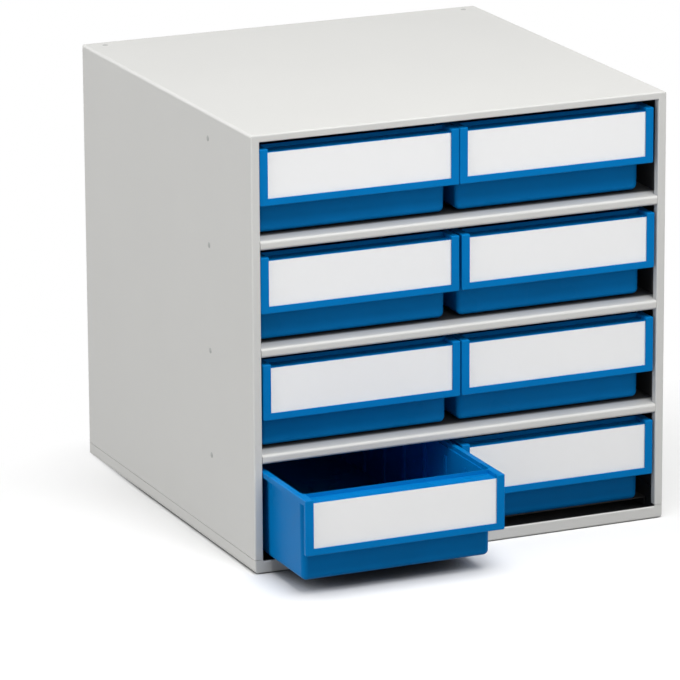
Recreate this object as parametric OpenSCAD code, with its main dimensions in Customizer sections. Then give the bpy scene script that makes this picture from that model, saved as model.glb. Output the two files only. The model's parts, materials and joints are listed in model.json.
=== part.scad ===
// Parts bin cabinet: a folded steel case with shelves and two columns of
// moulded plastic drawers, each with a label holder across its front.
// Millimetres. X runs to the right, Y to the back and Z up; the origin is the
// middle of the underside. One drawer stands partly pulled out.

/* [Cabinet] */
// Overall width over the side panels
cabinet_width = 400; // [380:1:440]
// Overall depth from the front face to the back
cabinet_depth = 400; // [360:1:440]
// Number of drawer rows, counted from the top
rows = 4; // [2:1:5]
// Clear height between a shelf and the edge above it
row_clear_height = 88; // [86:0.5:110]

/* [Sheet metal] */
// Thickness of every steel sheet
sheet = 1; // [0.8:0.1:1.2]
// Outer bend radius along the two top edges
top_bend_radius = 3; // [2:0.5:6]
// Outer bend radius of the folds round the front and the back
face_bend_radius = 1.6; // [1.4:0.1:2.5]
// Outer bend radius along the two bottom edges
base_bend_radius = 4; // [2:0.5:6]
// Width of the front face beside the opening
side_band = 8; // [7:0.5:12]
// Height of the front face above the opening
top_band = 6.8; // [5:0.2:12]
// How far the folded edge of the opening runs back
fold_depth = 7; // [4:0.5:12]
// Width of the returns behind the back panel
back_band = 10; // [8:0.5:16]
// Clearance between one steel piece and the next
steel_gap = 0.2; // [0.1:0.05:0.3]

/* [Base] */
// Height of the front rail of the base tray
rail_height = 11; // [8:0.5:16]
// Radius of the hem along the top of the front rail
hem_radius = 1.2; // [1.1:0.1:1.8]
// How far the floor shelf stands above the front rail
floor_step = 0.3; // [0.3:0.1:1]
// How far the floor shelf is set back from the front
floor_setback = 30; // [20:1:36]
// Height of the side seam between the case and the base tray
seam_height = 12.3; // [10:0.1:18]
// Open width of the side seam
seam_gap = 0.4; // [0.2:0.1:0.6]
// Height of the tray's inner tongue above the seam
tongue_height = 12; // [6:1:20]

/* [Shelves] */
// Height of a shelf's folded front edge
shelf_edge_height = 8.3; // [6:0.1:14]
// Outer bend radius of that edge
shelf_bend_radius = 2.4; // [1.5:0.1:3]
// Length of the lip folded back under the edge
shelf_lip = 6; // [4:0.5:12]

/* [Drawers] */
// Room to move sideways that the two drawers of a row share
row_play = 5.2; // [5.2:0.1:8]
// How far a closed drawer front stands back from the front face
front_recess = 1.5; // [1:0.1:3]
// Gap between a closed drawer and the back panel
rear_gap = 0.5; // [0.4:0.1:3]
// Height of the drawer from its underside to the rim
drawer_height = 79; // [70:0.5:82]
// Wall thickness
wall = 2.2; // [1.6:0.1:3]
// Floor thickness
floor_thickness = 2.2; // [1.6:0.1:3]
// How far a wall leans in from the rim down to the underside
draft = 1; // [0.4:0.1:2]
// Outer radius of the upright corners at the rim
corner_radius = 6; // [6:0.5:16]
// Outer radius round the underside
underside_radius = 5; // [2:0.5:5]
// Inner radius round the floor
floor_radius = 2; // [1:0.5:4]
// Height of the two skids under the floor
skid_height = 2; // [1:0.5:3]
// Width of a skid
skid_width = 4; // [2:0.5:8]
// Distance from the outer wall face to the middle of a skid
skid_inset = 24; // [19:1:30]
// Distance from the front wall back to the skids
skid_setback = 30; // [20:1:60]

/* [Rim] */
// How far the rim stands out from the wall
rim_overhang = 4.5; // [3.5:0.1:6]
// Thickness of the rim's top
rim_thickness = 2; // [1.4:0.1:3]
// Thickness of the rim's hanging lip
lip_thickness = 1.8; // [1.2:0.1:2.4]
// Height of the hanging lip
lip_height = 5; // [3:0.1:6]
// Radius of the rim's outer top edge
rim_radius = 1.2; // [0.6:0.1:1.4]
// Width of the rim inside the outer wall face
rim_inner_width = 1; // [0.6:0.1:1.2]
// Depth of the step inside the rim
step_depth = 4; // [3:0.1:6]

/* [Divider ribs] */
// How far a divider rib stands out from the wall
rib_depth = 0.9; // [0.5:0.1:1.5]
// Width of a divider rib
rib_width = 1.2; // [0.8:0.1:2]
// Clear slot between the two ribs of a pair
rib_slot = 2.4; // [1.5:0.1:3]
// Distance from one pair of ribs to the next
rib_pitch = 44; // [30:1:80]
// Distance from the rib tops up to the step inside the rim
rib_drop = 8; // [2:1:30]

/* [Label holder] */
// Depth of the finger grip behind the drawer front
grip_depth = 18; // [14:0.5:24]
// Height of the label holder, down from the rim
frame_height = 50.5; // [44:0.5:60]
// Height of the bar under the label window
frame_bottom_bar = 6.4; // [4:0.1:10]
// Width of the bar beside the label window
frame_side_bar = 7.6; // [6:0.1:12]
// Thickness of the bars in front of the label
bar_thickness = 1; // [0.8:0.1:1.6]
// Thickness of the plate behind the label
backing_thickness = 1.5; // [1:0.1:2.5]
// Open thickness of the label slot
slot_thickness = 1.2; // [1.1:0.1:2]
// How far the label runs in behind the bars
label_tuck = 1.6; // [0.8:0.1:3]
// Distance from the rim down to the top of the label
label_drop = 3.7; // [3.6:0.1:8]
// How far the top of the holder stands below the rim between its side bars
notch_depth = 3.4; // [1:0.1:3.5]
// Corner radius of the frame's lower corners
frame_corner_radius = 2.4; // [1:0.1:3]
// Edge radius of the frame's face
frame_edge_radius = 0.9; // [0.4:0.1:0.9]

/* [Labels] */
// Thickness of the label card
card_thickness = 0.4; // [0.2:0.05:0.45]
// Thickness of the clear cover
cover_thickness = 0.45; // [0.3:0.05:0.5]
// Air between the card and its cover
cover_gap = 0.1; // [0.05:0.05:0.15]
// Clearance round the card and the cover in their slot
label_clearance = 0.3; // [0.1:0.05:0.5]

/* [Stops] */
// Distance from the front face to the stop rivets
stop_setback = 97; // [60:1:160]
// Distance from the rim's lip down to the middle of the stop rivets
stop_drop = 4.5; // [4:0.5:8]
// Radius of the stop pin inside the case
stop_radius = 2.2; // [1.8:0.1:2.6]
// Clearance between a pin's end and the nearest that a drawer wall comes to it
stop_clearance = 0.3; // [0.2:0.05:0.6]
// Height of the lugs that meet the stops
lug_height = 14; // [10:0.5:20]
// Length of the lugs
lug_length = 8; // [5:0.5:14]

/* [Rivets] */
// Radius of a rivet head
rivet_head_radius = 2.6; // [2.2:0.1:3.5]
// Height of a rivet head
rivet_head_height = 0.7; // [0.4:0.1:1]
// Radius of a rivet shank
rivet_radius = 1.5; // [1.2:0.1:1.8]
// Clearance between a shank and its hole
rivet_clearance = 0.1; // [0.05:0.05:0.2]
// Distance from the back edge to the rivets in the top
rivet_inset = 13; // [10:1:20]
// Distance from the side panels to the rivets in the top
rivet_side_inset = 18; // [12:1:30]

/* [Drawer positions] */
// Gap to the left of the left drawers, from the top row down
left_gaps = [0.7, 0.8, 1.9, 0.7]; // [0.7:0.1:2]
// Gap between the two drawers of a row, from the top row down
middle_gaps = [0.5, 2.4, 1.1, 2.7]; // [0.5:0.1:2.7]
// How far the left drawer of the bottom row is pulled out
pulled_out = 94; // [0:1:200]

/* [Hidden] */
$fn = 64;
eps = 0.01;
merge = 0.5;
SIDES = ["left", "right"];
KINDS = ["drawer", "label_card", "label_cover"];
STEEL = "gainsboro";
BLUE = "royalblue";

front_y = -cabinet_depth / 2;
back_y = cabinet_depth / 2;
floor_top = rail_height + floor_step;
row_pitch = row_clear_height + shelf_edge_height;
opening_top = floor_top + rows * row_pitch - shelf_edge_height;
cabinet_height = opening_top + top_band;
opening_width = cabinet_width - 2 * side_band;
inner_width = cabinet_width - 2 * sheet;
inner_back_y = back_y - 2 * sheet;
shell_bottom = seam_height + seam_gap;
inner_bend_radius = face_bend_radius - sheet;

// Drawer: overall sizes, and the outer wall face at the level of the rim.
frame_width = (opening_width - row_play) / 2;
drawer_length = inner_back_y - rear_gap - front_y - front_recess;
wall_width = frame_width - 2 * rim_overhang;
wall_length = drawer_length - grip_depth - rim_overhang;
frame_thickness = bar_thickness + slot_thickness + backing_thickness;
window_width = frame_width - 2 * frame_side_bar;
frame_bottom = drawer_height - frame_height;
window_bottom = frame_bottom + frame_bottom_bar;
label_top = drawer_height - label_drop;
slot_width = window_width + 2 * label_tuck;
slot_bottom = window_bottom - label_tuck;
slot_back = bar_thickness + slot_thickness;
lug_front = drawer_length - rim_overhang - corner_radius - lug_length - merge;
stop_height = skid_height + drawer_height - lip_height - stop_drop;
pin_tip_x = opening_width / 2 - min(left_gaps) - rim_overhang + stop_clearance;
edge_trim = 0.2;
pin_collar_length = 3;
pin_collar_radius = stop_radius + 1.2;

function piece_name(kind, row, side) = str(kind, "_", row, "_", side);
function shelf_top(row) = floor_top + (rows - row) * row_pitch;
function gap(gaps, row) = gaps[(row - 1) % len(gaps)];
function sign_of(side) = side == "left" ? -1 : 1;
function pull(side, row) = side == "left" && row == rows ? pulled_out : 0;

// Half-widths of a drawer wall's outer and inner faces, measured from the
// centre of a corner, at a height above the underside.
function outer_face(z) = corner_radius - draft * (1 - z / drawer_height);
function inner_face(z) = outer_face(z) - wall;

// Radii round the underside and the floor, no larger than the corner leaves.
underside_round = min(underside_radius, corner_radius - draft);
floor_round = min(floor_radius, corner_radius - draft - wall);

// ---------------------------------------------------------------- outlines

// A rectangle between two corners, with a radius for the two lower corners
// and one for the two upper ones.
module round_rect(low, high, lower = 0, upper = 0) {
    width = high[0] - low[0];
    translate([low[0], low[1] + lower]) square([width, high[1] - low[1] - lower - upper]);
    if (lower > 0) round_row(low[0], high[0], low[1], low[1] + lower, lower);
    if (upper > 0) round_row(low[0], high[0], high[1] - upper, high[1] - upper, upper);
}

// The strip between two rounded corners: base is the strip's lower edge and
// centre is the height of the two corner centres.
module round_row(left, right, base, centre, radius) {
    translate([left + radius, base]) square([right - left - 2 * radius, radius]);
    for (x = [left + radius, right - radius]) translate([x, centre]) circle(radius);
}

// Extrudes an X-Z outline from y0 to y1.
module along_y(y0, y1) {
    translate([0, y1, 0]) rotate([90, 0, 0]) linear_extrude(y1 - y0) children();
}

// Extrudes a Y-Z outline from x0 to x1.
module along_x(x0, x1) {
    translate([x0, 0, 0]) rotate([90, 0, 90]) linear_extrude(x1 - x0) children();
}

module along_z(z0, z1) {
    translate([0, 0, z0]) linear_extrude(z1 - z0) children();
}

module mirror_pair() {
    children();
    mirror([1, 0, 0]) children();
}

module box(low, high) {
    translate(low) cube(high - low);
}

// The sliver outside a rounded edge, to be taken off a sharp one that runs
// along Z through the origin with its material towards +X and +Y.
module edge_sliver(radius, length) {
    linear_extrude(length) difference() {
        translate([-eps, -eps]) square(radius + eps);
        translate([radius, radius]) circle(radius);
    }
}

// ---------------------------------------------------------------- steel case

// The case's volume, inset on its outer faces by a distance.
module case_volume(inset, bottom) {
    half = cabinet_width / 2 - inset;
    top = cabinet_height - inset;
    fold = face_bend_radius - inset;
    intersection() {
        along_y(front_y + inset, back_y - inset)
            round_rect([-half, bottom], [half, top], 0, top_bend_radius - inset);
        along_z(bottom, top)
            round_rect([-half, front_y + inset], [half, back_y - inset], fold, fold);
        along_x(-half, half)
            round_rect([front_y + inset, bottom], [back_y - inset, top], 0, fold);
    }
}

// Top and sides in one folded sheet, with returns round the front opening and
// round the back.
module outer_shell() {
    half_opening = opening_width / 2;
    color(STEEL) difference() {
        union() {
            difference() {
                case_volume(0, shell_bottom);
                case_volume(sheet, shell_bottom - 1);
            }
            opening_folds();
        }
        box([-half_opening, front_y - 1, 0], [half_opening, front_y + fold_depth + 1, opening_top]);
        box([back_band - cabinet_width / 2, back_y - sheet - eps, 0],
            [cabinet_width / 2 - back_band, back_y + 1, cabinet_height - back_band]);
        opening_edge_rounding();
        stop_holes();
        back_rivet_holes();
    }
}

module opening_folds() {
    outer = opening_width / 2 + sheet;
    mirror_pair()
        box([opening_width / 2, front_y + sheet / 2, shell_bottom],
            [outer, front_y + fold_depth, opening_top + sheet]);
    box([-outer, front_y + sheet / 2, opening_top],
        [outer, front_y + fold_depth, opening_top + sheet]);
}

module opening_edge_rounding() {
    mirror_pair() translate([opening_width / 2, front_y, 0]) edge_sliver(sheet, opening_top);
    translate([-opening_width / 2, front_y, opening_top])
        rotate([90, 0, 90]) edge_sliver(sheet, opening_width);
}

module stop_holes() {
    for (row = [1:rows])
        translate([-cabinet_width / 2 - 1, front_y + stop_setback, shelf_top(row) + stop_height])
            rotate([0, 90, 0])
                cylinder(r = rivet_radius + rivet_clearance, h = cabinet_width + 2);
}

// Tray under the case: its front wall is the rail under the opening, and its
// sides carry a tongue that stands up inside the side panels.
module base_tray() {
    half = cabinet_width / 2;
    half_opening = opening_width / 2;
    tongue_x = half - sheet - steel_gap;
    color(STEEL) {
        difference() {
            tray_volume(0, 0);
            tray_volume(sheet, seam_height);
            box([-half_opening, front_y - 1, rail_height - hem_radius],
                [half_opening, front_y + face_bend_radius + sheet, seam_height + 1]);
        }
        along_x(-half_opening, half_opening)
            translate([front_y + hem_radius, rail_height - hem_radius]) circle(hem_radius);
        mirror_pair() {
            box([tongue_x - sheet, front_y + 2 * sheet, seam_height - 2 * sheet],
                [tongue_x, back_y - 3 * sheet, seam_height + tongue_height]);
            box([tongue_x - sheet, front_y + 2 * sheet, seam_height - 2 * sheet],
                [half - sheet / 2, back_y - 3 * sheet, seam_height - sheet / 2]);
        }
    }
}

// The tray's volume, inset on its outer faces and raised at the top.
module tray_volume(inset, rise) {
    half = cabinet_width / 2 - inset;
    top = seam_height + rise;
    fold = face_bend_radius - inset;
    intersection() {
        along_y(front_y + inset, back_y - inset)
            round_rect([-half, inset], [half, top], base_bend_radius - inset, 0);
        along_z(inset, top)
            round_rect([-half, front_y + inset], [half, back_y - inset], fold, fold);
        along_x(-half, half)
            round_rect([front_y + inset, inset], [back_y - inset, top], fold, 0);
    }
}

// Sheet inside the back returns, with a flange bent forward under the top.
// Its upper corners are notched to clear the bends along the case's top.
module back_panel() {
    half = inner_width / 2 - inner_bend_radius;
    notch = top_bend_radius - sheet;
    color(STEEL) difference() {
        along_x(-half, half) back_panel_section();
        mirror_pair()
            box([half - notch, 0, cabinet_height - sheet - notch],
                [half + 1, back_y, cabinet_height]);
        back_rivet_holes();
    }
}

module back_panel_section() {
    far = back_y - sheet;
    top = cabinet_height - sheet;
    flange_y = back_y - 2 * rivet_inset;
    intersection() {
        translate([flange_y, shell_bottom]) square([far - flange_y, top - shell_bottom]);
        difference() {
            round_rect([0, 0], [far, top], 0, face_bend_radius);
            round_rect([-sheet, -sheet], [far - sheet, top - sheet], 0, inner_bend_radius);
        }
    }
}

// Places for the rivets that hold the back panel: two through the top, and
// one for each row through each back return. Each child points outwards.
module at_back_rivets() {
    mirror_pair() {
        translate([cabinet_width / 2 - rivet_side_inset, back_y - rivet_inset, cabinet_height])
            children();
        for (row = [1:rows])
            translate([cabinet_width / 2 - back_band / 2, back_y,
                       shelf_top(row) + row_clear_height / 2])
                rotate([-90, 0, 0]) children();
    }
}

module back_rivet_holes() {
    at_back_rivets() translate([0, 0, -3 * sheet])
        cylinder(r = rivet_radius + rivet_clearance, h = 4 * sheet);
}

module back_rivets() {
    color(STEEL) at_back_rivets() {
        rivet_head();
        translate([0, 0, -3 * sheet]) cylinder(r = rivet_radius, h = 3 * sheet + eps);
        translate([0, 0, -3 * sheet]) cylinder(r = rivet_radius + rivet_head_height, h = sheet);
    }
}

// A low domed head that sits on the plane z = 0.
module rivet_head() {
    rotate_extrude() intersection() {
        square([rivet_head_radius, rivet_head_height]);
        translate([0, rivet_head_height - dome_radius()]) circle(dome_radius());
    }
}

function dome_radius() =
    (rivet_head_radius ^ 2 + rivet_head_height ^ 2) / (2 * rivet_head_height) + merge;

// ---------------------------------------------------------------- shelves

// Section of a shelf from front to back: a rolled front edge with a lip
// folded under it, the flat sheet and a flange at the back.
module shelf_section(front, top, edge, lip) {
    back = inner_back_y - steel_gap;
    bottom = top - edge;
    inner = shelf_bend_radius - sheet;
    difference() {
        union() {
            round_rect([front, bottom], [back - shelf_bend_radius, top],
                       shelf_bend_radius, shelf_bend_radius);
            translate([back - 2 * shelf_bend_radius - eps, bottom])
                square([2 * shelf_bend_radius + eps, edge]);
        }
        union() {
            round_rect([front + sheet, bottom + sheet], [back - shelf_bend_radius, top - sheet],
                       inner, inner);
            translate([back - 2 * shelf_bend_radius - eps, bottom - 1])
                square([2 * shelf_bend_radius + eps - sheet, edge - sheet + 1]);
            translate([front + lip, bottom - 1])
                square([back - sheet - front - lip, sheet + 2]);
        }
    }
}

module shelf(row) {
    top = shelf_top(row);
    half = inner_width / 2 - steel_gap;
    notch_y = front_y + fold_depth + steel_gap;
    half_front = opening_width / 2 - steel_gap;
    color(STEEL) {
        difference() {
            along_x(-half, half) shelf_section(front_y + steel_gap, top, shelf_edge_height, shelf_lip);
            mirror_pair()
                box([half_front, front_y - 1, top - shelf_edge_height - 1],
                    [half + 1, notch_y, top + 1]);
        }
        mirror_pair()
            box([half - sheet, notch_y, top - shelf_edge_height],
                [half, inner_back_y - steel_gap, top - sheet / 2]);
    }
}

// Floor under the bottom row: a sheet in the base tray with flanges down at
// its sides and its back, and a plain edge behind the rail.
module floor_shelf() {
    half = cabinet_width / 2 - 2 * sheet - 2 * steel_gap;
    front = front_y + floor_setback;
    back = inner_back_y - steel_gap;
    color(STEEL) difference() {
        box([-half, front, sheet], [half, back, floor_top]);
        box([sheet - half, front - 1, 0], [half - sheet, back - sheet, floor_top - sheet]);
        mirror_pair() mirror([1, 0, 0]) box([-half - 1, front - 1, 0],
            [base_bend_radius - cabinet_width / 2 + steel_gap, back + 1, base_bend_radius]);
    }
}

// ---------------------------------------------------------------- stops

// One rivet per row through a side panel. Its pin stands in the way of the
// lug at the back of the drawer.
module stop_rivets(side) {
    color(STEEL)
        for (row = [1:rows])
            translate([sign_of(side) * cabinet_width / 2, front_y + stop_setback,
                       shelf_top(row) + stop_height])
                rotate([0, sign_of(side) * 90, 0]) stop_rivet();
}

module stop_rivet() {
    length = cabinet_width / 2 - pin_tip_x;
    rivet_head();
    translate([0, 0, -length]) cylinder(r = stop_radius, h = length - sheet);
    translate([0, 0, -sheet - pin_collar_length])
        cylinder(r = pin_collar_radius, h = pin_collar_length);
    translate([0, 0, -length]) cylinder(r = rivet_radius, h = length + eps);
}

// ---------------------------------------------------------------- drawer

// Section of the wall and the edge of the floor, drawn outward from the
// centre of a corner.
module wall_section() {
    outer_low = outer_face(underside_round);
    inner_low = inner_face(floor_thickness + floor_round);
    step = drawer_height - step_depth;
    difference() {
        union() {
            polygon([[0, underside_round], [outer_low, underside_round],
                     [outer_face(drawer_height), drawer_height], [0, drawer_height]]);
            square([outer_low - underside_round, 2 * underside_round]);
            round_toe(outer_low, underside_round, underside_round);
        }
        union() {
            polygon([[-1, floor_thickness + floor_round],
                     [inner_low, floor_thickness + floor_round],
                     [inner_face(step), step], [-1, step]]);
            translate([-1, floor_thickness]) square([inner_low - floor_round + 1, 2 * floor_round]);
            round_toe(inner_low, floor_thickness + floor_round, floor_round);
            translate([-1, step - eps])
                square([corner_radius - rim_inner_width + 1, step_depth + 1]);
        }
    }
}

// A circle that touches the line x = face, kept to this side of the axis.
module round_toe(face, height, radius) {
    intersection() {
        translate([face - radius, height]) circle(radius);
        translate([0, height - radius]) square([face, 2 * radius]);
    }
}

// Section of the rim that stands out from the wall, with its hanging lip.
module rim_section() {
    outer = corner_radius + rim_overhang;
    top = drawer_height;
    translate([corner_radius - merge, top - rim_thickness])
        square([rim_overhang + merge - rim_radius, rim_thickness]);
    translate([outer - lip_thickness, top - lip_height])
        square([lip_thickness, lip_height - rim_radius]);
    translate([outer - rim_radius, top - rim_radius]) circle(rim_radius);
}

// Sweeps a section along the two sides from y0 to the back corners, round
// the back corners and across the back.
module sweep_back(y0) {
    x = wall_width / 2 - corner_radius;
    y = grip_depth + wall_length - corner_radius;
    mirror_pair() {
        translate([x, y, 0]) rotate([90, 0, 0]) linear_extrude(y - y0) children();
        translate([x, y, 0]) rotate_extrude(angle = 90) children();
    }
    translate([x, y, 0]) rotate([90, 0, 90]) mirror([0, 0, 1]) linear_extrude(2 * x) children();
}

// Sweeps a section across the front and round the front corners.
module sweep_front() {
    x = wall_width / 2 - corner_radius;
    y = grip_depth + corner_radius;
    mirror_pair() translate([x, y, 0]) rotate([0, 0, -90]) rotate_extrude(angle = 90) children();
    translate([-x, y, 0]) rotate([90, 0, -90]) mirror([0, 0, 1]) linear_extrude(2 * x) children();
}

module drawer_floor() {
    x = wall_width / 2 - corner_radius;
    box([-x - eps, grip_depth + corner_radius - eps, 0],
        [x + eps, grip_depth + wall_length - corner_radius + eps, floor_thickness]);
}

// Deck that joins the label frame to the front wall over the finger grip, with
// its lower part between the frame's side bars.
module front_deck() {
    half = frame_width / 2;
    end_y = grip_depth + corner_radius;
    inner_half = wall_width / 2 - rim_inner_width;
    notch_half = window_width / 2 + rim_thickness;
    top = drawer_height;
    box([-notch_half, frame_thickness - merge, top - notch_depth - rim_thickness],
        [notch_half, grip_depth + merge, top - rim_thickness / 2]);
    along_z(top - rim_thickness, top) difference() {
        translate([rim_radius - half, frame_thickness - merge])
            square([2 * (half - rim_radius), end_y - frame_thickness + merge]);
        round_rect([-inner_half, grip_depth + rim_inner_width], [inner_half, end_y + corner_radius],
                   corner_radius - rim_inner_width, 0);
    }
    mirror_pair() translate([wall_width / 2 - corner_radius, end_y, 0])
        rotate([90, 0, 0]) linear_extrude(end_y - frame_thickness + merge) rim_section();
}

// Upright plate with a pocket for the label, open at the top.
module label_frame() {
    half = frame_width / 2;
    above = drawer_height + 1;
    difference() {
        intersection() {
            along_y(0, frame_thickness)
                round_rect([-half, frame_bottom], [half, drawer_height],
                           frame_corner_radius, rim_radius);
            along_z(frame_bottom, drawer_height)
                round_rect([-half, 0], [half, frame_thickness], frame_edge_radius, 0);
            along_x(-half, half) rotate(-90) mirror([1, 0])
                round_rect([frame_bottom, 0], [drawer_height, frame_thickness],
                           frame_edge_radius, 0);
        }
        label_pocket(above);
    }
}

module label_pocket(above) {
    box([-window_width / 2, -1, window_bottom], [window_width / 2, slot_back, above]);
    box([-slot_width / 2, bar_thickness, slot_bottom], [slot_width / 2, slot_back, above]);
}

// The step down between the side bars, back to the edge of the front wall.
module front_notch(above) {
    box([-window_width / 2, -1, drawer_height - notch_depth],
        [window_width / 2, grip_depth + edge_trim, above]);
}

module skids() {
    x = wall_width / 2 - skid_inset;
    start = grip_depth + skid_setback;
    end = grip_depth + wall_length - corner_radius;
    mirror_pair()
        box([x - skid_width / 2, start, -skid_height], [x + skid_width / 2, end, merge]);
}

// Pairs of upright ribs inside the two side walls, between which a divider
// drops in.
module divider_ribs() {
    low = floor_thickness - merge;
    high = drawer_height - step_depth - rib_drop;
    base_x = wall_width / 2 - corner_radius;
    first = grip_depth + rib_pitch;
    last = grip_depth + wall_length - corner_radius - rib_pitch / 2;
    mirror_pair()
        for (y = [first:rib_pitch:last], step = [0, rib_width + rib_slot])
            along_y(y + step, y + step + rib_width)
                polygon([[base_x + inner_face(low) - rib_depth, low],
                         [base_x + inner_face(low) + merge, low],
                         [base_x + inner_face(high) + merge, high],
                         [base_x + inner_face(high) - rib_depth, high]]);
}

// Lugs under the rim, near the back, that meet the stop rivets.
module stop_lugs() {
    top = drawer_height - rim_radius;
    bottom = drawer_height - lip_height - lug_height;
    mirror_pair()
        box([wall_width / 2 - draft - merge, lug_front, bottom],
            [frame_width / 2, lug_front + lug_length, top]);
}

module drawer_moulding() {
    color(BLUE) difference() {
        union() {
            sweep_back(grip_depth + corner_radius) union() {
                wall_section();
                rim_section();
            }
            sweep_front() wall_section();
            drawer_floor();
            front_deck();
            label_frame();
            skids();
            divider_ribs();
            stop_lugs();
        }
        label_pocket(drawer_height + 1);
        front_notch(drawer_height + 1);
    }
}

module label_sheet(back, thickness) {
    half = slot_width / 2 - label_clearance;
    box([-half, back - thickness, slot_bottom], [half, back, label_top]);
}

module label_card() {
    color("white") label_sheet(slot_back, card_thickness);
}

module label_cover() {
    color("aliceblue", 0.4) label_sheet(slot_back - card_thickness - cover_gap, cover_thickness);
}

// Puts a piece of a drawer where that drawer stands.
module in_drawer(row, side) {
    left_x = gap(left_gaps, row) - (opening_width - frame_width) / 2;
    x = side == "left" ? left_x : left_x + frame_width + gap(middle_gaps, row);
    y = front_y + front_recess - pull(side, row);
    translate([x, y, shelf_top(row) + skid_height]) children();
}

// ---------------------------------------------------------------- pieces

outer_shell();
base_tray();
back_panel();
floor_shelf();
for (row = [1:rows - 1])
    shelf(row);
for (side = SIDES)
    stop_rivets(side);
back_rivets();
for (row = [1:rows], side = SIDES) {
    in_drawer(row, side) drawer_moulding();
    in_drawer(row, side) label_card();
    in_drawer(row, side) label_cover();
}
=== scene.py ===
"""Finishes and studio for a parts bin cabinet: a folded steel case with two
columns of moulded drawers, a blank label across the front of each.

All lengths are in metres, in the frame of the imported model: X to the right,
Y to the back, Z up, with the origin in the middle of the underside.
"""

import json
from math import cos, radians, sin

import bpy
from bpy.props import FloatProperty, FloatVectorProperty, PointerProperty
from mathutils import Matrix, Vector


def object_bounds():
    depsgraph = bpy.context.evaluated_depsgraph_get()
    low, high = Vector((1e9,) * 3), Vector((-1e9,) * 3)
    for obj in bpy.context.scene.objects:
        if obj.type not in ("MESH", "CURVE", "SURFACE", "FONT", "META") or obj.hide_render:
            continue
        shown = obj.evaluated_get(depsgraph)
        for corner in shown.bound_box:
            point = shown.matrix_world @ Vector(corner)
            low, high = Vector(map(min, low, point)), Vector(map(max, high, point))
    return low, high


bl_info = {
    "name": "Parts Bin Cabinet",
    "version": (1, 0, 0),
    "blender": (4, 5, 0),
    "location": "View3D > Sidebar > Parts Cabinet",
    "description": "Finishes and studio for a steel cabinet with moulded drawers",
    "category": "Object",
}

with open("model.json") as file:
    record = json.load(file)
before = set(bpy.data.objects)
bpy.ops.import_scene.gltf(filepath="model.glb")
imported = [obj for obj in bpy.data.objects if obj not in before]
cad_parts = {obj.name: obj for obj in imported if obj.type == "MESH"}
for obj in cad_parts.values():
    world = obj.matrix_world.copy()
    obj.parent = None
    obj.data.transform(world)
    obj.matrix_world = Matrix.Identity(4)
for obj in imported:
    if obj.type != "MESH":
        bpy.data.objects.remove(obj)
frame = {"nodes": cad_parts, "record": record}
cad_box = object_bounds()

RIVETS = ("stop_rivets_left", "stop_rivets_right", "back_rivets")
BASE = ("base_tray", "floor_shelf")
CASE = tuple(
    name for name in frame["record"]["behaviour"]["bodies"]["cabinet"] if name not in RIVETS
)

WHITE = (1.0, 1.0, 1.0, 1.0)

# Thickness of the case's steel, and a blend so short that it looks like an edge.
SHEET = 0.001
HAIR = 0.00004

# Painted shade inside the case: a dark colour laid over the coat on the inner faces,
# where they lie in shadow. Where it starts along Y, over what length it takes over
# from the coat, and how many sheets of steel close it at the back.
SHELL_PAINTED_SHADE = {"start": -0.1845, "blend": 0.0075, "walls": 2}
BASE_PAINTED_SHADE = {"start": -0.1974, "blend": HAIR, "walls": 1}

# The values between which most of a noise lies.
NOISE_LOW, NOISE_HIGH = 0.3, 0.7

# Clouds in the coat and in the plastic: their width, and how far they shift the
# brightness and the roughness.
COAT_CLOUD, COAT_TINT = 0.09, 0.015
PLASTIC_CLOUD, PLASTIC_TINT = 0.05, 0.04
ROUGHNESS_SHIFT = 0.04

# Shallow waves in the moulding, under its grain.
WAVE_SIZE, WAVE_DEPTH, WAVE_STRENGTH = 0.012, 0.0001, 0.5

# The card's fibres, from the darkest to the lightest, and how far they stand out.
FIBRE_DARK, FIBRE_LIGHT = 0.985, 1.01
FIBRE_DEPTH = 0.00002
CARD_ROUGHNESS = 0.75
COVER_ROUGHNESS = 0.2

# The floor: half its width, and how far it lies below the cabinet's underside.
FLOOR_HALF = 20.0
FLOOR_DROP = 0.0005

# The floor's glow: how wide a border round the cabinet it starts in, the places
# along Y between which it grows towards the back, and the distances from the
# middle between which it becomes the white of the background.
GLOW_BORDER = 0.1
BACK_START, BACK_END = 0.05, 0.24
FAR_START, FAR_END = 0.6, 1.4

# Shade on the floor under what hangs over it: how high it looks, how open the
# floor is where the shade is deepest and where it ends, and how much of the
# floor's brightness the deepest shade keeps.
COVER_REACH = 0.06
COVER_CLOSED, COVER_OPEN = 0.05, 0.4
COVER_SHADE = 0.1

# Each lamp's name, place and width. Its power is the setting of the same name.
LAMPS = (
    ("over_lamp", (0.0, -1.0, 2.6), 1.8),
    ("high_lamp", (-0.1, -2.0, 2.6), 1.0),
    ("left_lamp", (-3.2, -0.4, 0.9), 1.8),
    ("right_lamp", (3.2, -0.1, 0.9), 1.8),
    ("front_lamp", (0.4, -3.2, 1.2), 1.8),
    ("back_lamp", (-1.6, 2.6, 1.9), 2.0),
)
LAMP_AIM = Vector((0.0, -0.05, 0.2))

# The camera's place, its yaw, pitch and roll in degrees, the width of its sensor
# in millimetres and how far it sees.
CAMERA_PLACE = (-1.948, -4.368, 1.479)
CAMERA_TURN = (23.71, -15.65, -0.33)
SENSOR_WIDTH = 36.0
CAMERA_REACH = 100.0


# ------------------------------------------------------------------ settings


def colour_property(name, description, default):
    """A colour in linear RGB."""
    return FloatVectorProperty(
        name=name,
        description=description,
        subtype="COLOR",
        size=3,
        min=0.0,
        max=1.0,
        default=default,
    )


def factor_property(name, description, default):
    """A share from 0 to 1."""
    return FloatProperty(
        name=name, description=description, subtype="FACTOR", min=0.0, max=1.0, default=default
    )


def length_property(name, description, default):
    """A length in metres."""
    return FloatProperty(
        name=name,
        description=description,
        subtype="DISTANCE",
        unit="LENGTH",
        min=0.0,
        default=default,
    )


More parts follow.
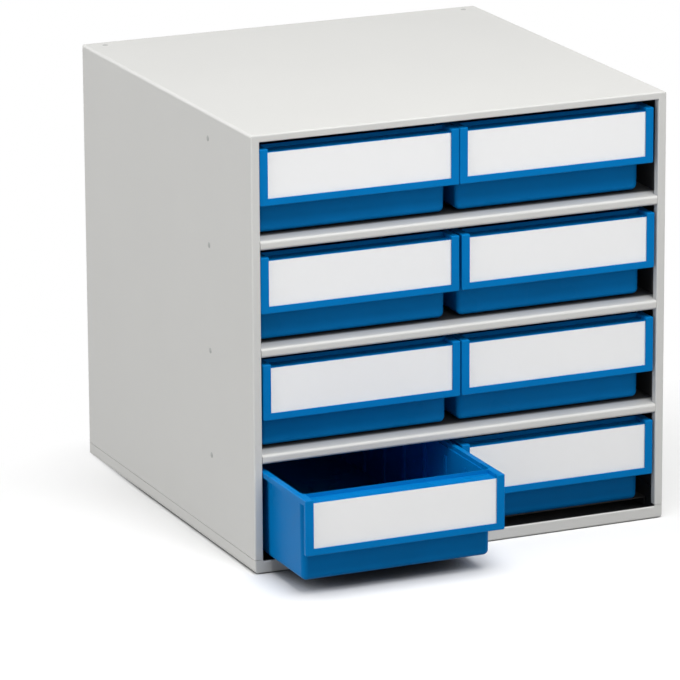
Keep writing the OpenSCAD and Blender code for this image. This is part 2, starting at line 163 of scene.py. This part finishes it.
def power_property(name, description, default):
    """A lamp's power in watts."""
    return FloatProperty(
        name=name, description=description, unit="POWER", min=0.0, default=default
    )


class CoatSettings(bpy.types.PropertyGroup):
    """Powder coat on the steel case and its rivets, and the painted shade inside the case."""

    colour: colour_property("Colour", "Colour of the powder coat", (0.60, 0.598, 0.58))
    rivet_colour: colour_property(
        "Rivet colour", "Colour of the rivet heads", (0.40, 0.405, 0.395)
    )
    # Painted shade: the dark colour laid on the faces inside the case, where they lie in
    # shadow.
    inner_shade_colour: colour_property(
        "Inner colour", "Colour of the dark primer inside the case", (0.05, 0.05, 0.05)
    )
    roughness: factor_property("Roughness", "Surface roughness of the coat", 0.5)
    peel_size: length_property("Peel size", "Width of one ripple of the coat", 0.0016)
    peel_depth: length_property("Peel depth", "Depth of the ripples", 0.00004)


class MouldingSettings(bpy.types.PropertyGroup):
    """Blue plastic of the drawers."""

    colour: colour_property("Colour", "Colour of the drawer plastic", (0.001, 0.18, 0.50))
    roughness: factor_property("Roughness", "Surface roughness of the moulding", 0.3)
    index: FloatProperty(
        name="Index", description="Optical index of the surface", min=1.0, default=1.12
    )
    grain_size: length_property("Grain size", "Width of one grain of the mould texture", 0.0005)
    grain_depth: length_property("Grain depth", "Depth of the mould texture", 0.00002)


class LabelSettings(bpy.types.PropertyGroup):
    """Blank label cards and the clear covers over them."""

    card_colour: colour_property("Card colour", "Colour of the card", (0.91, 0.91, 0.91))
    fibre_size: length_property("Fibre size", "Width of the paper's fibres", 0.0004)
    cover_colour: colour_property("Cover colour", "Tint of the clear cover", (0.97, 0.98, 0.99))
    cover_opacity: factor_property("Cover opacity", "How much of the cover shows", 0.05)


class StudioSettings(bpy.types.PropertyGroup):
    """Floor, lamps and camera."""

    floor_colour: colour_property(
        "Floor colour", "Colour of the floor in view", (0.93, 0.93, 0.93)
    )
    floor_bounce: colour_property(
        "Floor bounce", "Colour of the floor as it lights the cabinet", (0.3, 0.3, 0.3)
    )
    floor_glow: factor_property("Floor glow", "How far the floor's shadows are lifted", 0.2)
    back_glow: factor_property(
        "Back glow", "How far the floor behind the case is lifted more", 0.9
    )
    sky_light: FloatProperty(
        name="Sky light", description="Strength of the even light", min=0.0, default=0.06
    )
    over_lamp: power_property("Overhead lamp", "Power of the lamp above the front", 44.0)
    high_lamp: power_property("High lamp", "Power of the high lamp in front", 37.0)
    left_lamp: power_property("Left lamp", "Power of the low lamp at the left", 53.0)
    right_lamp: power_property("Right lamp", "Power of the low lamp at the right", 24.0)
    front_lamp: power_property("Front lamp", "Power of the low lamp in front", 20.0)
    back_lamp: power_property("Back lamp", "Power of the lamp behind the cabinet", 28.0)
    lens: FloatProperty(
        name="Lens", description="Focal length in millimetres", unit="CAMERA", default=287.0
    )


# --------------------------------------------------------------- node helpers


def new_material(name):
    """A material with a Principled surface, as (material, node tree, surface node)."""
    material = bpy.data.materials.new(name)
    material.use_nodes = True
    return material, material.node_tree, material.node_tree.nodes["Principled BSDF"]


def opaque(colour):
    """A colour with full alpha."""
    return (*colour, 1.0)


def feed(tree, value, socket):
    """Links an output to a socket, or sets the socket to a plain value."""
    if isinstance(value, bpy.types.NodeSocket):
        tree.links.new(value, socket)
    else:
        socket.default_value = value


def object_place(tree):
    """Where a point lies in its object's own axes."""
    return tree.nodes.new("ShaderNodeTexCoord").outputs["Object"]


def along_axes(tree, place):
    """A place's values along X, Y and Z, by the axis's letter."""
    node = tree.nodes.new("ShaderNodeSeparateXYZ")
    tree.links.new(place, node.inputs["Vector"])
    return node.outputs


def arithmetic(tree, operation, *values, clamp=False):
    """One step of arithmetic on outputs or plain numbers."""
    node = tree.nodes.new("ShaderNodeMath")
    node.operation = operation
    node.use_clamp = clamp
    for value, socket in zip(values, node.inputs):
        feed(tree, value, socket)
    return node.outputs[0]


def product(tree, values):
    """All the values multiplied."""
    total = values[0]
    for value in values[1:]:
        total = arithmetic(tree, "MULTIPLY", total, value)
    return total


def noise(tree, place, size, detail=2.0):
    """Soft noise from 0 to 1 whose features are about size across."""
    node = tree.nodes.new("ShaderNodeTexNoise")
    node.inputs["Scale"].default_value = 1.0 / size
    node.inputs["Detail"].default_value = detail
    tree.links.new(place, node.inputs["Vector"])
    return node.outputs["Fac"]


def spread(tree, value, low, high):
    """The middle of a noise value, spread from low to high."""
    node = tree.nodes.new("ShaderNodeMapRange")
    node.inputs["From Min"].default_value = NOISE_LOW
    node.inputs["From Max"].default_value = NOISE_HIGH
    node.inputs["To Min"].default_value = low
    node.inputs["To Max"].default_value = high
    tree.links.new(value, node.inputs["Value"])
    return node.outputs["Result"]


def spread_about(tree, value, middle, shift):
    """The middle of a noise value, spread as far to both sides of a number."""
    return spread(tree, value, middle - shift, middle + shift)


def ramp(tree, value, start, end, low=0.0):
    """Low where the value is at start, 1 where it is at end, eased between them."""
    node = tree.nodes.new("ShaderNodeMapRange")
    node.interpolation_type = "SMOOTHSTEP"
    node.inputs["From Min"].default_value = start
    node.inputs["From Max"].default_value = end
    node.inputs["To Min"].default_value = low
    tree.links.new(value, node.inputs["Value"])
    return node.outputs["Result"]


def shade(tree, colour, value):
    """The colour with its brightness multiplied by value."""
    node = tree.nodes.new("ShaderNodeVectorMath")
    node.operation = "SCALE"
    node.inputs[0].default_value = colour
    tree.links.new(value, node.inputs["Scale"])
    return node.outputs["Vector"]


def blend_colours(tree, share, first, second):
    """The first colour, with the second over it by share."""
    node = tree.nodes.new("ShaderNodeMix")
    node.data_type = "RGBA"
    tree.links.new(share, node.inputs["Factor"])
    feed(tree, first, node.inputs["A"])
    feed(tree, second, node.inputs["B"])
    return node.outputs["Result"]


def blend_shaders(tree, share, first, second):
    """The first shader, with the second over it by share."""
    node = tree.nodes.new("ShaderNodeMixShader")
    tree.links.new(share, node.inputs["Fac"])
    tree.links.new(first, node.inputs[1])
    tree.links.new(second, node.inputs[2])
    return node.outputs["Shader"]


def bump(tree, height, depth, strength=1.0, under=None):
    """A normal from a height field, laid over another normal where one is given."""
    node = tree.nodes.new("ShaderNodeBump")
    node.inputs["Strength"].default_value = strength
    node.inputs["Distance"].default_value = depth
    tree.links.new(height, node.inputs["Height"])
    if under is not None:
        tree.links.new(under, node.inputs["Normal"])
    return node.outputs["Normal"]


def inside_box(tree, place, low, high, blends):
    """1 inside a box and 0 outside it. It fades in over the given lengths at the
    low sides and over a hair at the high ones."""
    axes = along_axes(tree, place)
    sides = []
    for axis, start, end, blend in zip("XYZ", low, high, blends):
        sides.append(ramp(tree, axes[axis], start, start + blend))
        sides.append(ramp(tree, axes[axis], end, end - HAIR))
    return product(tree, sides)


# ------------------------------------------------------------------- finishes


def coat_node(name, material):
    """Gives a frame node its finish."""
    mesh = frame["nodes"][name].data
    mesh.materials.clear()
    mesh.materials.append(material)


def case_box():
    """The lowest and highest corner of the case without its rivets."""
    meshes = [frame["nodes"][name].data for name in ("outer_shell", "base_tray")]
    places = [vertex.co for mesh in meshes for vertex in mesh.vertices]
    return [[pick(place[axis] for place in places) for axis in range(3)] for pick in (min, max)]


def painted_shade_cover(tree, place, start, blend, walls):
    """Where the painted shade goes: 1 on the faces inside the case and 0 on the outer ones.
    It ends on the inner face of the sheets around it: one at the top, bottom and
    sides, and as many as there are walls at the back."""
    low, high = case_box()
    margin = SHEET - HAIR
    return inside_box(
        tree,
        place,
        (low[0] + margin, start, low[2] + margin),
        (high[0] - margin, high[1] - walls * SHEET + HAIR, high[2] - margin),
        (HAIR, blend, HAIR),
    )


def powder_coat(name, colour, settings, painted_shade=None):
    """Matt powder coat with a fine orange-peel ripple. Where a shade box is given, it also
    lays a dark painted shade on the faces inside the case."""
    material, tree, surface = new_material(name)
    place = object_place(tree)
    clouds = noise(tree, place, COAT_CLOUD)
    coat = shade(tree, colour, spread_about(tree, clouds, 1.0, COAT_TINT))
    # Painted shade: a dark colour over the coat on the inner faces, where they lie in shadow.
    if painted_shade:
        cover = painted_shade_cover(tree, place, **painted_shade)
        coat = blend_colours(tree, cover, coat, opaque(settings.inner_shade_colour))
    tree.links.new(coat, surface.inputs["Base Color"])
    ripple = noise(tree, place, settings.peel_size, detail=3.0)
    tree.links.new(bump(tree, ripple, settings.peel_depth), surface.inputs["Normal"])
    roughness = spread_about(tree, clouds, settings.roughness, ROUGHNESS_SHIFT)
    tree.links.new(roughness, surface.inputs["Roughness"])
    return material


def moulded_plastic(settings):
    """Coloured polypropylene with the fine grain of its mould."""
    material, tree, surface = new_material("blue_moulding")
    place = object_place(tree)
    clouds = noise(tree, place, PLASTIC_CLOUD)
    colour = shade(tree, settings.colour, spread_about(tree, clouds, 1.0, PLASTIC_TINT))
    tree.links.new(colour, surface.inputs["Base Color"])
    waves = bump(tree, noise(tree, place, WAVE_SIZE), WAVE_DEPTH, WAVE_STRENGTH)
    grain = noise(tree, place, settings.grain_size)
    normal = bump(tree, grain, settings.grain_depth, under=waves)
    tree.links.new(normal, surface.inputs["Normal"])
    roughness = spread_about(tree, clouds, settings.roughness, ROUGHNESS_SHIFT)
    tree.links.new(roughness, surface.inputs["Roughness"])
    surface.inputs["IOR"].default_value = settings.index
    return material


def card_paper(settings):
    """Uncoated white card."""
    material, tree, surface = new_material("white_card")
    fibre = noise(tree, object_place(tree), settings.fibre_size, detail=4.0)
    colour = shade(tree, settings.card_colour, spread(tree, fibre, FIBRE_DARK, FIBRE_LIGHT))
    tree.links.new(colour, surface.inputs["Base Color"])
    tree.links.new(bump(tree, fibre, FIBRE_DEPTH), surface.inputs["Normal"])
    surface.inputs["Roughness"].default_value = CARD_ROUGHNESS
    return material


def clear_sheet(settings):
    """Thin clear plastic over the card."""
    material, _, surface = new_material("clear_sheet")
    surface.inputs["Base Color"].default_value = opaque(settings.cover_colour)
    surface.inputs["Roughness"].default_value = COVER_ROUGHNESS
    surface.inputs["Alpha"].default_value = settings.cover_opacity
    return material


# ---------------------------------------------------------------------- stage


def seen_as_background(tree):
    """1 for rays from the camera, mirrors and clear pieces, and 0 for light."""
    path = tree.nodes.new("ShaderNodeLightPath")
    total = path.outputs["Is Camera Ray"]
    for ray in ("Is Glossy Ray", "Is Transmission Ray"):
        total = arithmetic(tree, "ADD", total, path.outputs[ray], clamp=True)
    return total


def away_from_cabinet(tree, place):
    """0 on the floor under the cabinet and 1 at a hand's width from it."""
    low, high = cad_box
    axes = along_axes(tree, place)
    sides = []
    for number, axis in enumerate("XY"):
        for side, edge in ((-1, low[number]), (1, high[number])):
            sides.append(ramp(tree, axes[axis], edge + side * GLOW_BORDER, edge))
    return arithmetic(tree, "SUBTRACT", 1.0, product(tree, sides))


def open_above(tree):
    """1 on open floor, falling to a deep shade where something hangs close above it."""
    cover = tree.nodes.new("ShaderNodeAmbientOcclusion")
    cover.inputs["Distance"].default_value = COVER_REACH
    return ramp(tree, cover.outputs["AO"], COVER_CLOSED, COVER_OPEN, low=COVER_SHADE)


def glow_share(tree, settings):
    """How far a plain white glow takes over from the floor: not at all under the
    cabinet, a little round it, more behind it, and wholly far away."""
    place = object_place(tree)
    near = arithmetic(tree, "MULTIPLY", away_from_cabinet(tree, place), settings.floor_glow)
    behind = ramp(tree, along_axes(tree, place)["Y"], BACK_START, BACK_END)
    lifted = arithmetic(tree, "MULTIPLY_ADD", behind, settings.back_glow, near, clamp=True)
    distance = tree.nodes.new("ShaderNodeVectorMath")
    distance.operation = "LENGTH"
    tree.links.new(place, distance.inputs[0])
    far = ramp(tree, distance.outputs["Value"], FAR_START, FAR_END)
    return arithmetic(tree, "ADD", lifted, far, clamp=True)


def floor_finish(settings):
    """Matt white floor that keeps soft shadows near the cabinet. It lights the
    cabinet by less than it shows."""
    material, tree, surface = new_material("studio_floor")
    surface.inputs["Roughness"].default_value = 1.0
    surface.inputs["Specular IOR Level"].default_value = 0.0
    seen = seen_as_background(tree)
    in_view = shade(tree, settings.floor_colour, open_above(tree))
    colour = blend_colours(tree, seen, opaque(settings.floor_bounce), in_view)
    tree.links.new(colour, surface.inputs["Base Color"])
    glow = tree.nodes.new("ShaderNodeEmission")
    share = product(tree, [seen, glow_share(tree, settings)])
    finish = blend_shaders(tree, share, surface.outputs["BSDF"], glow.outputs["Emission"])
    tree.links.new(finish, tree.nodes["Material Output"].inputs["Surface"])
    return material


def lay_floor(settings):
    """A wide floor just below the cabinet's underside."""
    half = FLOOR_HALF
    corners = [(-half, -half, 0), (half, -half, 0), (half, half, 0), (-half, half, 0)]
    mesh = bpy.data.meshes.new("studio_floor")
    mesh.from_pydata(corners, [], [(0, 1, 2, 3)])
    floor = bpy.data.objects.new("studio_floor", mesh)
    floor.location.z = -FLOOR_DROP
    bpy.context.scene.collection.objects.link(floor)
    mesh.materials.append(floor_finish(settings))


def light_sky(scene, settings):
    """Even light from all round, with a white sky behind the floor."""
    world = bpy.data.worlds.new("studio_sky")
    world.use_nodes = True
    scene.world = world
    tree = world.node_tree
    light = tree.nodes["Background"]
    light.inputs["Strength"].default_value = settings.sky_light
    light.inputs["Color"].default_value = WHITE
    white = tree.nodes.new("ShaderNodeBackground")
    white.inputs["Color"].default_value = WHITE
    sky = blend_shaders(
        tree, seen_as_background(tree), light.outputs["Background"], white.outputs["Background"]
    )
    tree.links.new(sky, tree.nodes["World Output"].inputs["Surface"])


def hang_lamp(name, place, size, power):
    """A square lamp that faces the cabinet and isn't in view itself."""
    lamp = bpy.data.lights.new(name, "AREA")
    lamp.size = size
    lamp.energy = power
    holder = bpy.data.objects.new(name, lamp)
    holder.location = place
    holder.rotation_euler = (LAMP_AIM - Vector(place)).to_track_quat("-Z", "Y").to_euler()
    holder.visible_camera = False
    bpy.context.scene.collection.objects.link(holder)


def place_camera(scene, settings):
    """A long lens from the front left, a little above the cabinet."""
    yaw, pitch, roll = (radians(angle) for angle in CAMERA_TURN)
    forward = Vector((sin(yaw) * cos(pitch), cos(yaw) * cos(pitch), sin(pitch)))
    level = Vector((cos(yaw), -sin(yaw), 0.0))
    upright = level.cross(forward)
    right = cos(roll) * level + sin(roll) * upright
    up = cos(roll) * upright - sin(roll) * level
    turn = Matrix((right, up, -forward)).transposed().to_4x4()
    camera = bpy.data.cameras.new("camera")
    camera.lens = settings.lens
    camera.sensor_width = SENSOR_WIDTH
    camera.clip_end = CAMERA_REACH
    holder = bpy.data.objects.new("camera", camera)
    holder.matrix_world = Matrix.Translation(CAMERA_PLACE) @ turn
    scene.collection.objects.link(holder)
    scene.camera = holder


# ------------------------------------------------------------------ operators


class CoatCase(bpy.types.Operator):
    """Powder-coat the folded steel pieces of the case and paint shade inside it"""

    bl_idname = "cabinet.coat_case"
    bl_label = "Coat the Case"

    def execute(self, context):
        settings = context.scene.cabinet_coat
        # Both coats lay painted shade on the faces inside the case.
        coat = powder_coat("powder_coat", settings.colour, settings, SHELL_PAINTED_SHADE)
        base_coat = powder_coat("base_coat", settings.colour, settings, BASE_PAINTED_SHADE)
        for name in CASE:
            coat_node(name, base_coat if name in BASE else coat)
        return {"FINISHED"}


class FinishRivets(bpy.types.Operator):
    """Coat the rivets of the case"""

    bl_idname = "cabinet.finish_rivets"
    bl_label = "Finish the Rivets"

    def execute(self, context):
        settings = context.scene.cabinet_coat
        coat = powder_coat("rivet_coat", settings.rivet_colour, settings)
        for name in RIVETS:
            coat_node(name, coat)
        return {"FINISHED"}


class MouldDrawers(bpy.types.Operator):
    """Give the drawers their moulded plastic"""

    bl_idname = "cabinet.mould_drawers"
    bl_label = "Mould the Drawers"

    def execute(self, context):
        plastic = moulded_plastic(context.scene.cabinet_moulding)
        for name in frame["nodes"]:
            if name.startswith("drawer_"):
                coat_node(name, plastic)
        return {"FINISHED"}


class FitLabels(bpy.types.Operator):
    """Give the label cards and their covers their finish"""

    bl_idname = "cabinet.fit_labels"
    bl_label = "Fit the Labels"

    def execute(self, context):
        settings = context.scene.cabinet_labels
        card = card_paper(settings)
        cover = clear_sheet(settings)
        for name in frame["nodes"]:
            if name.startswith("label_card_"):
                coat_node(name, card)
            if name.startswith("label_cover_"):
                coat_node(name, cover)
        return {"FINISHED"}


class SetStage(bpy.types.Operator):
    """Lay the floor, hang the lamps and place the camera"""

    bl_idname = "cabinet.set_stage"
    bl_label = "Set the Stage"

    def execute(self, context):
        settings = context.scene.cabinet_studio
        lay_floor(settings)
        light_sky(context.scene, settings)
        for name, place, size in LAMPS:
            hang_lamp(name, place, size, getattr(settings, name))
        place_camera(context.scene, settings)
        context.scene.view_settings.view_transform = "Standard"
        return {"FINISHED"}


# ---------------------------------------------------------------------- panel


SETTINGS = {
    "cabinet_coat": CoatSettings,
    "cabinet_moulding": MouldingSettings,
    "cabinet_labels": LabelSettings,
    "cabinet_studio": StudioSettings,
}
STEPS = (
    (CoatCase, "cabinet_coat"),
    (FinishRivets, "cabinet_coat"),
    (MouldDrawers, "cabinet_moulding"),
    (FitLabels, "cabinet_labels"),
    (SetStage, "cabinet_studio"),
)


class CabinetPanel(bpy.types.Panel):
    """Settings and steps for the parts bin cabinet"""

    bl_idname = "VIEW3D_PT_parts_cabinet"
    bl_label = "Parts Cabinet"
    bl_space_type = "VIEW_3D"
    bl_region_type = "UI"
    bl_category = "Parts Cabinet"

    def draw(self, context):
        for step, group in STEPS:
            box = self.layout.box()
            box.operator(step.bl_idname)
            settings = getattr(context.scene, group)
            for name in settings.__annotations__:
                box.prop(settings, name)


CLASSES = (*SETTINGS.values(), *(step for step, _ in STEPS), CabinetPanel)


def register():
    for cls in CLASSES:
        bpy.utils.register_class(cls)
    for name, cls in SETTINGS.items():
        setattr(bpy.types.Scene, name, PointerProperty(type=cls))


def unregister():
    for name in SETTINGS:
        delattr(bpy.types.Scene, name)
    for cls in reversed(CLASSES):
        bpy.utils.unregister_class(cls)


def main():
    register()
    bpy.ops.cabinet.coat_case()
    bpy.ops.cabinet.finish_rivets()
    bpy.ops.cabinet.mould_drawers()
    bpy.ops.cabinet.fit_labels()
    bpy.ops.cabinet.set_stage()


if __name__ == "__main__":
    main()
